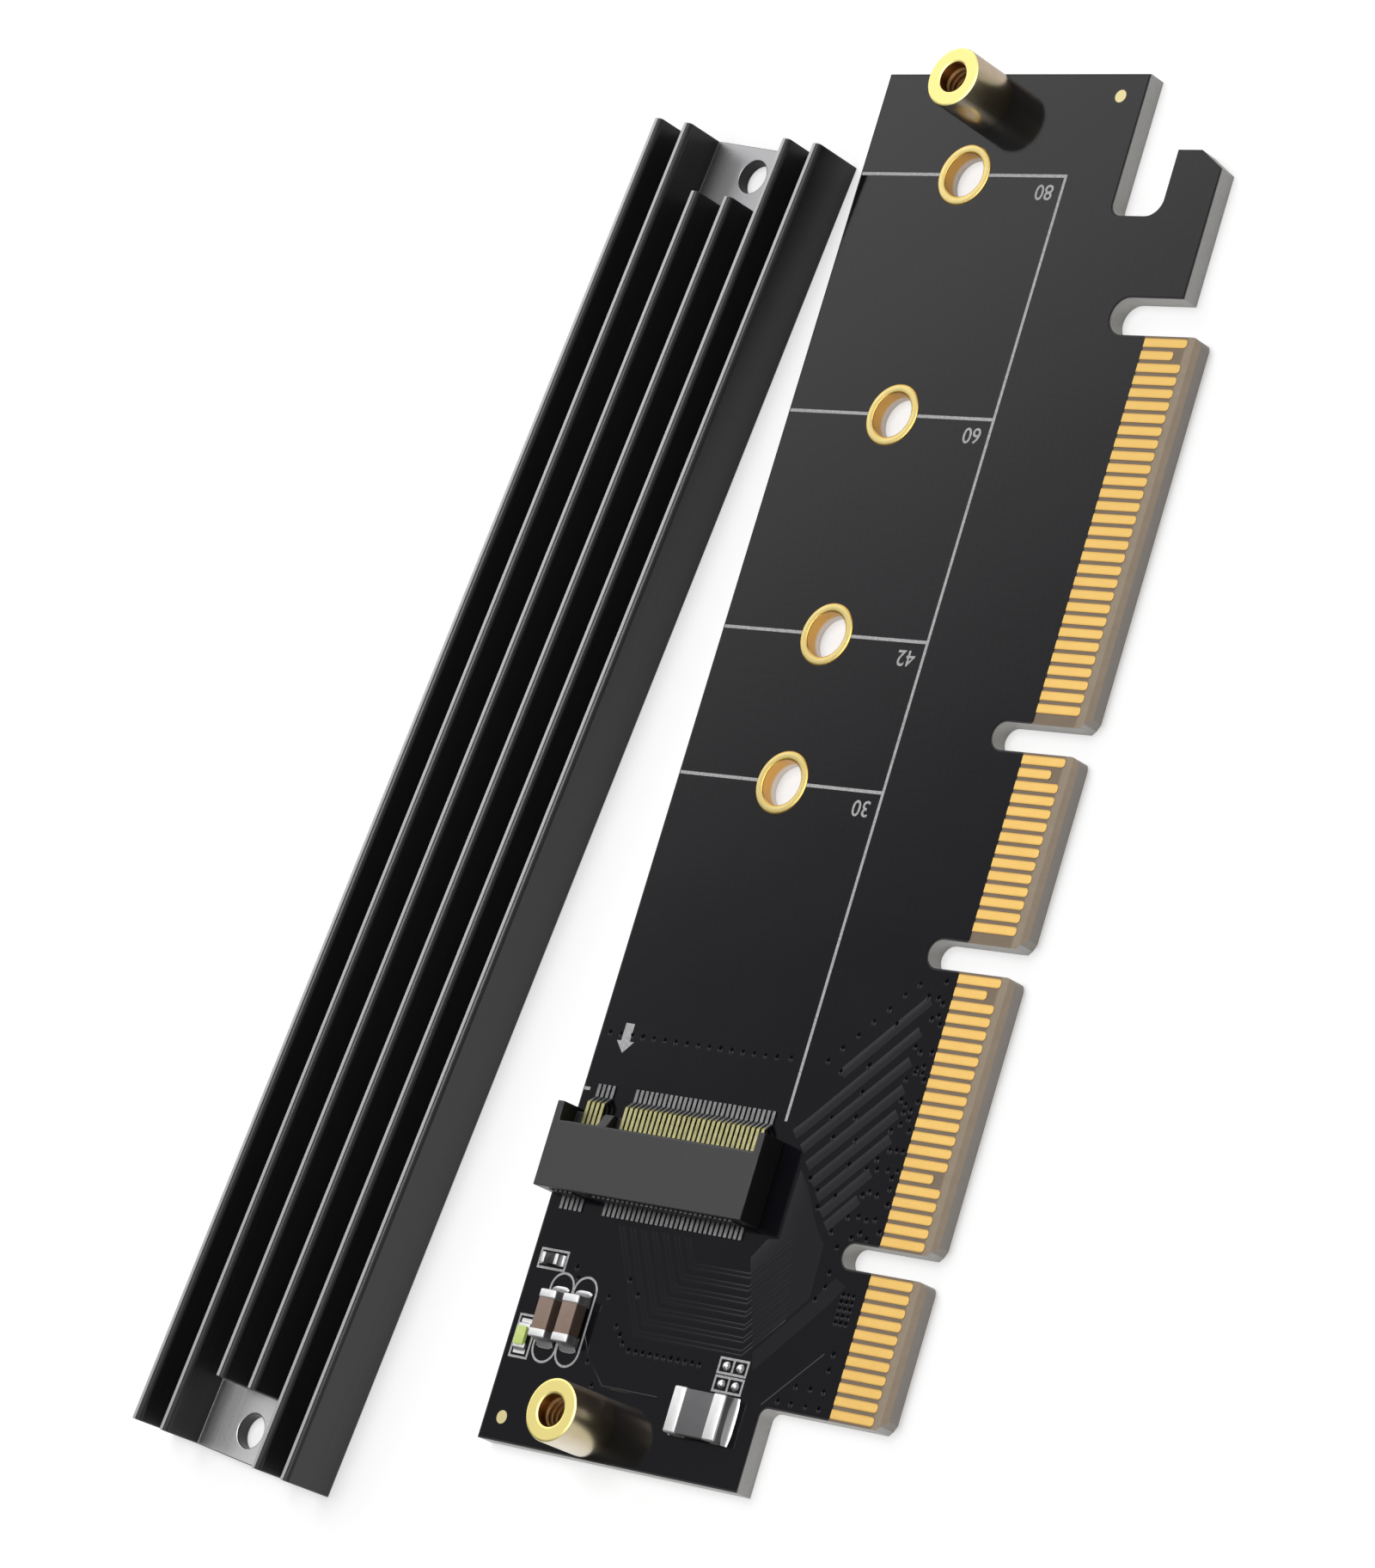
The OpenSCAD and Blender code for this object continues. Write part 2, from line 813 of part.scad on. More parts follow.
// A turned standoff: shank flush with the underside, body on the coating
module standoff(x) {
    e = standoff_edge;
    z1 = top + standoff_h;
    translate([x, module_line, 0]) rotate_extrude($fn = round_fn) polygon([
        [standoff_bore_r + e, 0], [standoff_shank_r, 0], [standoff_shank_r, top],
        [standoff_r, top], [standoff_r, z1 - e], [standoff_r - e, z1],
        [standoff_bore_r + e, z1], [standoff_bore_r, z1 - e], [standoff_bore_r, e]]);
}

module standoff_bracket_end() {
    color(brass_colour) standoff(standoff_xs[0]);
}

module standoff_hook_end() {
    color(brass_colour) standoff(standoff_xs[1]);
}

// Module socket

// Side profile of the housing: upper lip, slot and longer lower lip
module socket_profile() {
    polygon([[socket_rear, top], [socket_sill, top], [socket_sill, slot_z],
        [module_datum, slot_z], [module_datum, slot_top], [socket_lip, slot_top],
        [socket_lip, socket_top - pin_t], [socket_lip - pin_t, socket_top],
        [socket_rear, socket_top]]);
}

// Extrudes a profile drawn in X and Z between two places on the Y axis
module along_y(y0, y1) {
    translate([0, y1, 0]) rotate([90, 0, 0]) linear_extrude(y1 - y0) children();
}

// Room of a group of contacts, from its first to its last pin
function pins_from(pins) = module_line + pins[0] * pin_pitch - pin_pitch / 2;
function pins_to(pins) = module_line + pins[len(pins) - 1] * pin_pitch + pin_pitch / 2;

module socket_housing() {
    y0 = module_line - socket_w / 2;
    y1 = module_line + socket_w / 2;
    s0 = module_line - slot_w / 2;
    s1 = module_line + slot_w / 2;
    rib = module_line + rib_offset;
    color([0.13, 0.13, 0.14]) {
        difference() {
            union() {
                along_y(y0, y1) socket_profile();
                // End walls beside the slot
                for (y = [[y0, s0], [s1, y1]]) along_y(y[0], y[1])
                    polygon([[socket_rear, top], [socket_front, top],
                        [socket_front, socket_top], [socket_rear, socket_top]]);
                // Key rib, from the slot's floor to its roof
                along_y(rib - rib_w / 2, rib + rib_w / 2)
                    polygon([[module_datum - pin_t, slot_z - pin_t],
                        [socket_sill, slot_z - pin_t], [socket_sill, slot_z + slot_h / 2],
                        [socket_lip, slot_top + pin_t], [module_datum - pin_t, slot_top + pin_t]]);
            }
            // Chambers that let the rear contacts into the slot
            for (pins = [rear_pins, rear_pins_far]) along_y(pins_from(pins), pins_to(pins))
                polygon([[socket_rear - pin_t, slot_top - pin_t / 2],
                    [module_datum + pin_t, slot_top - pin_t / 2],
                    [module_datum + pin_t, slot_top], [socket_lip - pin_t, slot_top],
                    [socket_lip - pin_t, slot_top + pin_t], [socket_rear - pin_t, slot_top + pin_t]]);
        }
        peg_places() translate([0, 0, top - peg_l]) cylinder(peg_l, r = $peg_r, $fn = small_fn);
    }
}

module socket_pins(pins) {
    for (i = pins) {
        y = module_line + i * pin_pitch;
        along_y(y - pin_w / 2, y + pin_w / 2) children();
    }
}

// Front contacts lie on the lower lip, run out past it and step down to the
// board
module socket_front_contacts() {
    knee = socket_sill + contact_reach;
    foot = tail_front - tail_l;
    color(gold_colour) for (pins = [front_pins, front_pins_far]) socket_pins(pins)
        polygon([[module_datum + pin_t, slot_z], [knee - pin_t / 2, slot_z],
            [foot - pin_t, top], [tail_front, top], [tail_front, top + pin_t],
            [foot, top + pin_t], [knee, slot_z + pin_t],
            [module_datum + pin_t, slot_z + pin_t]]);
}

// Rear contacts climb the rear wall, pass through the chambers and end at the
// slot's roof
module socket_rear_contacts() {
    riser_x = socket_rear - pin_t;
    color(gold_colour) for (pins = [rear_pins, rear_pins_far]) socket_pins(pins)
        polygon([[-tail_rear, top], [socket_rear, top], [socket_rear, slot_top - pin_t / 2],
            [module_datum + 2 * pin_t, slot_top - pin_t / 2],
            [socket_lip - 3 * pin_t, slot_top - pin_t],
            [socket_lip - 2 * pin_t, slot_top], [socket_lip - 2 * pin_t, slot_top + pin_t / 2],
            [riser_x, slot_top + pin_t / 2], [riser_x, top + pin_t], [-tail_rear, top + pin_t]]);
}

// Heatsink

// Section of a fin that stands on the base, with bevelled top edges
module fin_section(y) {
    w = fin_t / 2;
    b = fin_bevel;
    h = heatsink_h;
    foot = heatsink_base_t / 2;
    polygon([[y - w, foot], [y + w, foot], [y + w, h - b], [y + w - b, h],
        [y - w + b, h], [y - w, h - b]]);
}

// Extrudes a section drawn in Y and Z over a length along X, about the middle
module along_x(l) {
    translate([-l / 2, 0, 0]) rotate([90, 0, 90]) linear_extrude(l) children();
}

module heatsink() {
    pocket_w = 2 * middle_fin - fin_t;
    color([0.07, 0.07, 0.075])
        translate([heatsink_x, heatsink_y, 0]) rotate(-heatsink_turn) difference() {
            union() {
                along_x(heatsink_l) {
                    translate([-heatsink_w / 2, 0]) square([heatsink_w, heatsink_base_t]);
                    for (side = [-1, 1]) {
                        fin_section(side * outer_fin);
                        fin_section(side * middle_fin);
                    }
                }
                along_x(heatsink_l - 2 * pocket_l)
                    for (side = [-1, 1]) fin_section(side * inner_fin);
            }
            for (side = [-1, 1]) {
                // Milled pocket at each end, with its screw hole
                translate([side > 0 ? heatsink_l / 2 - pocket_l : -heatsink_l / 2 - over,
                    -pocket_w / 2, heatsink_base_t - pocket_t])
                    cube([pocket_l + over, pocket_w, heatsink_h]);
                translate([side * standoff_spacing / 2, 0, -over])
                    cylinder(heatsink_base_t + 2 * over, r = heatsink_hole_r, $fn = round_fn);
            }
        }
}

circuit_board();
coating_front();
coating_back();
edge_contacts_front();
edge_contacts_back();
module_hole_linings();
printed_lines();
alignment_marks();
component_lands();
standoff_bracket_end();
standoff_hook_end();
socket_housing();
socket_front_contacts();
socket_rear_contacts();
outer_capacitor_body();
outer_capacitor_ends();
inner_capacitor_body();
inner_capacitor_ends();
fuse_body();
fuse_ends();
signal_lamp_body();
signal_lamp_ends();
resistor_body();
resistor_ends();
solder_bumps();
heatsink();
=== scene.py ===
import math

import bmesh
import bpy
from mathutils import Matrix, Vector


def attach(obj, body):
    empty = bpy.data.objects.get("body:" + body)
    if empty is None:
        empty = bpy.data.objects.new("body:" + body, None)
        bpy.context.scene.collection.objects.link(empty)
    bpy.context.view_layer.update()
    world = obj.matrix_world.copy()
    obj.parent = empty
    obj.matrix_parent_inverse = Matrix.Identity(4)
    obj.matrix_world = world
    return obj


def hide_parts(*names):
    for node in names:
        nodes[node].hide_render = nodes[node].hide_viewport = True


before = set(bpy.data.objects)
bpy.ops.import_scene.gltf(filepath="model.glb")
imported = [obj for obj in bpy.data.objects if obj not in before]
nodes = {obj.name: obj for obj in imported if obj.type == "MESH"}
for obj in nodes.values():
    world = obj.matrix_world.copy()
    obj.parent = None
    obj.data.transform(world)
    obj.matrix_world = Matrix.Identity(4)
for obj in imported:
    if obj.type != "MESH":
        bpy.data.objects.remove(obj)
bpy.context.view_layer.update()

M = 0.001
TOP = 1.60              # upper face of the coating
LAND_TOP = 1.64         # upper face of the lands that carry the small parts
STRIP_DEPTH = 5.4       # bare strip under the edge contacts
STRIP_ENDS = (-12.4, 74.4)
MODULE_LINE = 27.75     # line of the module holes and standoffs
HOLES = [34.79, 46.79, 64.79, 84.79]
POSTS = {"standoff_bracket_end": -15.92, "standoff_hook_end": 91.08}
POST_BORE, POST_EDGE, POST_TOP = 1.25, 2.45, 6.0    # two radii and the height of the end face
SINK_MIDDLE, SINK_TURN = (31.4, 56.523), -6.6
FINS = [9.05, 5.65, 1.9, -1.9, -5.65, -9.05]        # middles of the fins, across the heatsink
FIN_TOP = 4.8


# ---------------------------------------------------------------- materials

class Sock:
    """One shader value, with operators that add the node they need."""

    def __init__(self, net, out):
        self.net, self.out = net, out

    def math(self, operation, *rest):
        return self.net.node("ShaderNodeMath", {"operation": operation},
                             dict(enumerate((self,) + rest)))

    def __add__(self, other):
        return self.math("ADD", other)

    def __sub__(self, other):
        return self.math("SUBTRACT", other)

    def __mul__(self, other):
        return self.math("MULTIPLY", other)

    def __rsub__(self, other):
        return self.math("MULTIPLY_ADD", -1.0, other)

    __radd__, __rmul__ = __add__, __mul__

    def rise(self, low, high):
        """0 below low, 1 above high, smooth between; low above high turns it round."""
        return self.net.node("ShaderNodeMapRange", {"interpolation_type": "SMOOTHSTEP"},
                             {0: self, 1: low, 2: high, 3: 0.0, 4: 1.0})

    def wave(self, length):
        """A sine of this wave length, from 0 to 1."""
        return (self * (math.tau / length)).math("SINE") * 0.5 + 0.5

    def both(self, other):
        return self.math("MINIMUM", other)

    def either(self, other):
        return self.math("MAXIMUM", other)


class Net:
    """A node material. Its point is the place on the piece in millimetres."""

    def __init__(self, name, world=None):
        self.material = world or bpy.data.materials.new(name)
        self.material.use_nodes = True
        self.tree = self.material.node_tree
        self.tree.nodes.clear()
        place = self.node("ShaderNodeTexCoord", {}, {}, "Object")
        self.point = self.node("ShaderNodeVectorMath", {"operation": "SCALE"},
                               {0: place, "Scale": 1 / M})
        self.x, self.y, self.z = self.split(self.point)

    def node(self, kind, settings, inputs, output=0):
        """Adds a node and gives the output that is named or numbered."""
        n = self.tree.nodes.new(kind)
        for key, value in settings.items():
            setattr(n, key, value)
        for key, value in inputs.items():
            if isinstance(value, Sock):
                self.tree.links.new(value.out, n.inputs[key])
            else:
                n.inputs[key].default_value = value
        return Sock(self, n.outputs[output]) if len(n.outputs) else None

    def split(self, vector):
        n = self.node("ShaderNodeSeparateXYZ", {}, {0: vector}).out.node
        return [Sock(self, o) for o in n.outputs]

    def joined(self, x, y, z):
        return self.node("ShaderNodeCombineXYZ", {}, {0: x, 1: y, 2: z})

    def facing(self):
        """Parts of the surface's normal."""
        return self.split(self.node("ShaderNodeNewGeometry", {}, {}, "Normal"))

    def away(self, centres):
        """Distance from the nearest of the upright axes at these places on the module line."""
        nearest = None
        for x in centres:
            dx, dy = self.x - x, self.y - MODULE_LINE
            r = (dx * dx + dy * dy).math("SQRT")
            nearest = r if nearest is None else nearest.both(r)
        return nearest

    def noise(self, scale, detail=2.0, roughness=0.5, at=None, stretch=None):
        at = at or self.point
        if stretch:
            at = self.node("ShaderNodeVectorMath", {"operation": "MULTIPLY"}, {0: at, 1: stretch})
        return self.node("ShaderNodeTexNoise", {}, {"Vector": at, "Scale": scale,
                                                    "Detail": detail, "Roughness": roughness})

    def cells(self, scale):
        return self.node("ShaderNodeTexVoronoi", {}, {"Vector": self.point, "Scale": scale})

    def mix(self, share, a, b):
        a, b = [v if isinstance(v, Sock) else (*v, 1.0) for v in (a, b)]
        return self.node("ShaderNodeMix", {"data_type": "RGBA"}, {0: share, 6: a, 7: b}, 2)

    def finish(self, colour, roughness, height=None, relief=0.01, **fixed):
        """height is 0 to 1 and relief its depth in millimetres; fixed names further sockets."""
        inputs = {"Base Color": colour, "Roughness": roughness}
        if height is not None:
            inputs["Normal"] = self.node("ShaderNodeBump", {}, {
                "Height": height, "Strength": 1.0, "Distance": relief * M})
        inputs.update({key.replace("_", " "): value for key, value in fixed.items()})
        shader = self.node("ShaderNodeBsdfPrincipled", {}, inputs)
        self.node("ShaderNodeOutputMaterial", {}, {"Surface": shader})
        return self.material


def coating(name, tone, ior=1.5):
    """Glossy black coating: soft clouds in its gloss, orange peel and the glass cloth under it."""
    n = Net(name)
    cloud, peel = n.noise(0.12, 3.0), n.noise(1.6)
    cloth = n.x.wave(0.62) * n.y.wave(0.7)
    dust = n.cells(1.3).rise(0.06, 0.03) * 0.5
    dark, light = 0.0032 * tone, 0.0062 * tone
    colour = n.mix(cloud * 0.6 + dust * 0.3, (dark, dark, 0.0036 * tone + 0.0012),
                   (light, light, 0.0066 * tone + 0.0025))
    return n.finish(colour, cloud * 0.05 + peel * 0.02 + 0.06, peel * 0.7 + cloth * 0.3, 0.0012,
                    IOR=ior)


def laminate():
    """Glass cloth and resin: taupe where a face is bare, grey with layers on cut edges."""
    n = Net("bare_laminate")
    flat = n.facing()[2].math("ABSOLUTE").rise(0.3, 0.7)
    cloth = n.noise(1.4, 3.0, 0.6)
    face = n.mix(cloth, (0.27, 0.205, 0.14), (0.35, 0.275, 0.195))
    # Painted shade makes the resin between the contacts darker than the bare strip at their tips
    face = n.mix(n.y.rise(1.1, 1.4) * 0.55, face, (0.12, 0.075, 0.035))
    # Only the strip of the contacts is bare; the coating thins out to the other edges
    low, high, fade = *STRIP_ENDS, 0.1
    strip = n.y.rise(STRIP_DEPTH, STRIP_DEPTH - fade) * n.x.rise(low, low + fade) \
        * n.x.rise(high, high - fade)
    face = n.mix(strip, (0.006, 0.006, 0.007), face)
    layers = n.z.wave(0.19)
    fibres = n.noise(2.2, 3.0, 0.6, stretch=(1.0, 1.0, 7.0))
    edge = n.mix(layers * 0.45 + fibres * 0.6, (0.4, 0.39, 0.37), (0.8, 0.79, 0.77))
    # The contact edge itself is browner than the other cuts
    edge = n.mix(n.y.rise(0.52, 0.4) * 0.75, edge, (0.36, 0.31, 0.265))
    return n.finish(n.mix(flat, edge, face), n.noise(1.0) * 0.15 + 0.5,
                    fibres * 0.6 + cloth * 0.3, 0.008)


def gold():
    """Plated contacts with insertion rubs along them and slightly duller patches."""
    n = Net("plated_gold")
    patch = n.noise(0.5, 3.0)
    rubs = n.noise(3.0, 3.0, 0.6, stretch=(6.0, 0.35, 1.0))
    colour = n.mix(patch * 0.5 + rubs * 0.4, (0.88, 0.6, 0.2), (0.68, 0.42, 0.12))
    colour = n.mix(n.x.rise(25.0, 75.0) * 0.55, colour, (0.66, 0.44, 0.14))
    # The middles lie half a millimetre off the whole millimetres; the long edges are darker
    aside = (n.x.math("FRACT") - 0.5).math("ABSOLUTE")
    colour = n.mix(aside.rise(0.2, 0.35) * 0.6, colour, (0.52, 0.29, 0.07))
    return n.finish(colour, rubs * 0.14 + patch * 0.06 + 0.36, rubs, 0.003, Metallic=1.0)


def lining():
    """Plated rings, pale on the face, with painted shade that turns the barrel orange brown and a
    painted reflection of the floor low in it, and the plain marks.
    """
    n = Net("plated_ring")
    face = n.facing()[2].math("ABSOLUTE").rise(0.15, 0.5)
    patch = n.noise(1.2)
    away = n.away(HOLES)
    ring_middle, ring_limit = 2.2, 3.0
    rim = (away - ring_middle).math("ABSOLUTE").rise(0.14, 0.3) \
        * away.rise(ring_limit, ring_limit - 0.1)
    mark = away.rise(ring_limit, ring_limit + 0.1)
    pale = n.mix(patch, (0.9, 0.76, 0.34), (0.76, 0.6, 0.22))
    pale = n.mix(rim, pale, (0.62, 0.37, 0.08))
    pale = n.mix(mark, pale, (0.88, 0.76, 0.38))
    # Painted shade makes the barrel darker and more orange than the face; its lowest part carries a
    # painted reflection of the pale floor under the hole
    barrel = n.mix(n.z.wave(0.21) * 0.3 + patch * 0.5, (0.66, 0.34, 0.08), (0.86, 0.52, 0.16))
    barrel = n.mix(n.z.rise(0.8, 0.4), barrel, (0.82, 0.76, 0.7))
    return n.finish(n.mix(face, barrel, pale), patch * 0.1 + 0.24, patch, 0.002,
                    Metallic=1.0 - mark * 0.6)


def brass():
    """Turned brass: fine tool rings on the end face and round the side, with painted reflections
    round the side and painted shade in the bore.
    """
    n = Net("turned_brass")
    nx, _, nz = n.facing()
    away = n.away(POSTS.values())
    face = nz.math("ABSOLUTE").rise(0.4, 0.9)
    bore = away.rise(POST_BORE + 0.05, POST_BORE - 0.01)
    marks = n.noise(26.0, at=n.joined(away, n.z, 0.0))
    # Painted reflection: round the side the colour goes from pale, by the bracket end, through deep
    # to a warm pale
    painted_reflection = n.mix(nx.rise(-0.95, -0.45), (0.78, 0.72, 0.6), (0.56, 0.48, 0.3))
    painted_reflection = n.mix(nx.rise(0.0, 0.5), painted_reflection, (0.8, 0.64, 0.48))
    colour = n.mix(n.noise(0.9) * 0.35, painted_reflection, (0.4, 0.32, 0.22))
    colour = n.mix(face, colour, (0.98, 0.84, 0.31))
    # Painted shade darkens the bore
    colour = n.mix(bore, colour, (0.42, 0.23, 0.09))
    return n.finish(colour, face * 0.08 + marks * 0.05 + 0.26, marks, 0.0006, Metallic=1.0)


def printing():
    """White ink with ragged coverage, a little of the black showing through."""
    n = Net("printed_ink")
    thin = n.noise(5.0, 4.0, 0.7)
    colour = n.mix(thin.rise(0.3, 0.62), (0.27, 0.27, 0.275), (0.48, 0.48, 0.485))
    return n.finish(colour, thin * 0.2 + 0.45, thin, 0.006)


def solder(name, tone, metal, rough, shade_share):
    """Tinned metal: bright, with frosty grains, with painted shade on its sides and on the faces
    toward the bracket end.
    """
    n = Net(name)
    nx, _, nz = n.facing()
    grain = n.noise(6.0, 4.0, 0.65)
    colour = n.mix(n.noise(1.5), [0.84 * tone] * 3, [0.97 * tone, 0.97 * tone, 0.98 * tone])
    # Painted shade darkens the sides and the faces turned towards the bracket end
    side = nz.rise(0.5, 0.1).either(nx.rise(-0.15, -0.5)) * shade_share
    colour = n.mix(side, colour, (0.16, 0.16, 0.165))
    return n.finish(colour, grain * 0.15 + rough, grain, 0.008, Metallic=metal)


def tails():
    """Socket contacts: gilt where they meet the module, tinned at their feet."""
    n = Net("socket_contact")
    foot = n.z.rise(2.2, 2.1).either(n.x.rise(4.8, 4.7))
    patch = n.noise(2.0, 3.0)
    gilt = n.mix(patch, (0.46, 0.43, 0.2), (0.62, 0.58, 0.3))
    tin = n.mix(patch, (0.2, 0.2, 0.205), (0.34, 0.34, 0.345))
    return n.finish(n.mix(foot, gilt, tin), patch * 0.2 + 0.25, patch, 0.004, Metallic=1.0)


def socket_plastic():
    """Moulded nylon with glass: fine spark texture and faint flow marks."""
    n = Net("socket_nylon")
    flow = n.noise(0.5, stretch=(1.0, 0.3, 1.0))
    spark = n.noise(7.0, 3.0, 0.7)
    colour = n.mix(flow * 0.5 + spark * 0.5, (0.007, 0.007, 0.008), (0.014, 0.014, 0.0155))
    return n.finish(colour, spark * 0.16 + 0.34, spark, 0.008, IOR=1.6)


def ceramic(name, dark, light, rough):
    """Fired body of a small part: matt, faintly speckled."""
    n = Net(name)
    speck = n.noise(5.0, 4.0, 0.7)
    colour = n.mix(speck * 0.6 + n.noise(0.8) * 0.4, dark, light)
    # Painted shade makes the sides darker than the top
    side = n.facing()[2].rise(0.6, 0.3) * 0.6
    return n.finish(n.mix(side, colour, [c * 0.35 for c in dark]), speck * 0.15 + rough, speck)


def lamp():
    """Clear tinted lens with a faint painted glow in its own colour."""
    n = Net("lamp_lens")
    patch = n.noise(2.5)
    colour = n.mix(patch, (0.5, 0.62, 0.16), (0.62, 0.74, 0.26))
    # Painted light: a faint emission brightens the unlit lens
    return n.finish(colour, patch * 0.1 + 0.25, patch, 0.006,
                    Emission_Color=(0.6, 0.75, 0.2, 1.0), Emission_Strength=0.1)


def anodised():
    """Black anodised aluminium with drawing lines along it and a milled floor at the ends."""
    n = Net("black_anodising")
    c, s = math.cos(math.radians(SINK_TURN)), math.sin(math.radians(SINK_TURN))
    dx, dy = n.x - SINK_MIDDLE[0], n.y - SINK_MIDDLE[1]
    along, across = dx * c + dy * s, dy * c - dx * s
    at = n.joined(along, across, n.z)
    up = n.facing()[2]
    drawn = n.noise(1.0, 4.0, 0.7, at, (0.03, 9.0, 9.0))
    fine = n.noise(11.0, 2.0, 0.6, at)
    # The floor of the two end pockets is milled bare, with the swirls of the cutter
    milled = along.math("ABSOLUTE").rise(50.4, 50.6) * across.math("ABSOLUTE").rise(5.2, 5.1) \
        * n.z.rise(1.3, 1.2) * up.rise(0.6, 0.9)
    swirl = (n.noise(0.5, at=at) * 2.0 + along).wave(0.3)
    # Painted highlight: the tops are pale along their upper half, with a black line beside it
    dark_line, outer = None, 0.0
    for fin in FINS:
        aside = across - fin
        gap = (aside + 0.11).math("ABSOLUTE")
        dark_line = gap if dark_line is None else dark_line.both(gap)
        outer = aside.rise(-0.07, -0.01) * aside.rise(0.7, 0.65) + outer
    black = n.mix(drawn, (0.022, 0.022, 0.023), (0.048, 0.048, 0.05))
    fin_tops_painted_highlight = n.mix(outer, (0.07, 0.07, 0.072), (0.5, 0.5, 0.505))
    fin_tops_painted_highlight = n.mix(dark_line.rise(0.1, 0.05), fin_tops_painted_highlight, (0.025, 0.025, 0.026))
    # Painted light: the milled floor is paler towards the bracket end than towards the hook end
    bare = n.mix(along.rise(-30.0, 30.0), (0.82, 0.82, 0.83), (0.46, 0.46, 0.47))
    top = up.rise(0.5, 0.9) * n.z.rise(FIN_TOP - 0.2, FIN_TOP - 0.05)
    colour = n.mix(milled, n.mix(top, black, fin_tops_painted_highlight), bare)
    height = drawn * 0.7 + fine * 0.3 + milled * swirl * 0.15
    return n.finish(colour, drawn * 0.12 + fine * 0.08 + 0.22 + milled * 0.04, height, 0.008,
                    Metallic=milled * 0.65 + 0.35, Specular_IOR_Level=0.6)


MATERIALS = {
    "coating": coating("black_coating", 1.0),
    "copper": coating("black_coating_over_copper", 3.0),
    "lanes": coating("black_coating_over_laminate", 5.2),
    "runs": coating("black_coating_over_runs", 1.7),
    # The pale via caps carry a painted highlight, and the dark via middles painted shade
    "vias": coating("black_coating_over_vias_painted_highlight", 6.5, 1.2),
    "dimple_shade": coating("black_coating_painted_via_shade", 0.15, 1.1),
    "laminate": laminate(),
    "gold": gold(),
    "lining": lining(),
    "brass": brass(),
    "print": printing(),
    "solder": solder("tinned_solder", 1.0, 0.9, 0.18, 0.6),
    "plating": solder("tinned_plating", 0.94, 0.6, 0.3, 0.75),
    "land": solder("tinned_land", 0.92, 0.8, 0.28, 0.6),
    "contacts": tails(),
    "nylon": socket_plastic(),
    "capacitor": ceramic("capacitor_ceramic", (0.21, 0.14, 0.105), (0.31, 0.215, 0.165), 0.35),
    "fuse": ceramic("fuse_ceramic", (0.066, 0.064, 0.069), (0.142, 0.139, 0.145), 0.35),
    "chip": ceramic("chip_glaze", (0.012, 0.012, 0.013), (0.03, 0.03, 0.032), 0.2),
    "lamp": lamp(),
    "anodised": anodised(),
}
CARRIED = {
    "circuit_board": "laminate", "coating_front": "coating", "coating_back": "coating",
    "edge_contacts_front": "gold", "edge_contacts_back": "gold", "module_hole_linings": "lining",
    "printed_lines": "print", "alignment_marks": "lining", "component_lands": "land",
    "standoff_bracket_end": "brass", "standoff_hook_end": "brass", "socket_housing": "nylon",
    "socket_front_contacts": "contacts", "socket_rear_contacts": "contacts",
    "outer_capacitor_body": "capacitor", "outer_capacitor_ends": "plating",
    "inner_capacitor_body": "capacitor", "inner_capacitor_ends": "plating",
    "fuse_body": "fuse", "fuse_ends": "plating", "signal_lamp_body": "lamp",
    "signal_lamp_ends": "plating", "resistor_body": "chip", "resistor_ends": "plating",
    "solder_bumps": "solder", "heatsink": "anodised",
}
for name, key in CARRIED.items():
    slots = nodes[name].data.materials
    slots.clear()
    slots.append(MATERIALS[key])


# ---------------------------------------------------------------- mesh tools

def add(name, mesh, material, sharp=35.0, replaces=()):
    """Adds a mesh as a piece that rides on the card; replaces holds the nodes it stands for."""
    mesh.polygons.foreach_set("use_smooth", [True] * len(mesh.polygons))
    mesh.set_sharp_from_angle(angle=math.radians(sharp))
    mesh.materials.clear()
    mesh.materials.append(MATERIALS[material])
    obj = bpy.data.objects.new(name, mesh)
    bpy.context.scene.collection.objects.link(obj)
    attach(obj, "root")
    if replaces:
        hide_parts(*replaces)


def plain_mesh(source, name):
    """The evaluated shape of an object as a plain mesh; the object itself goes."""
    bpy.context.scene.collection.objects.link(source)
    mesh = bpy.data.meshes.new_from_object(
        source.evaluated_get(bpy.context.evaluated_depsgraph_get()))
    mesh.name = name
    bpy.data.objects.remove(source)
    return mesh


def mitre(before, after):
    """Direction to the left of a corner, and the cosine that widths are divided by there."""
    left = Vector((-(before + after).y, (before + after).x)).normalized()
    return left, max(0.5, left.dot(Vector((-before.y, before.x))))


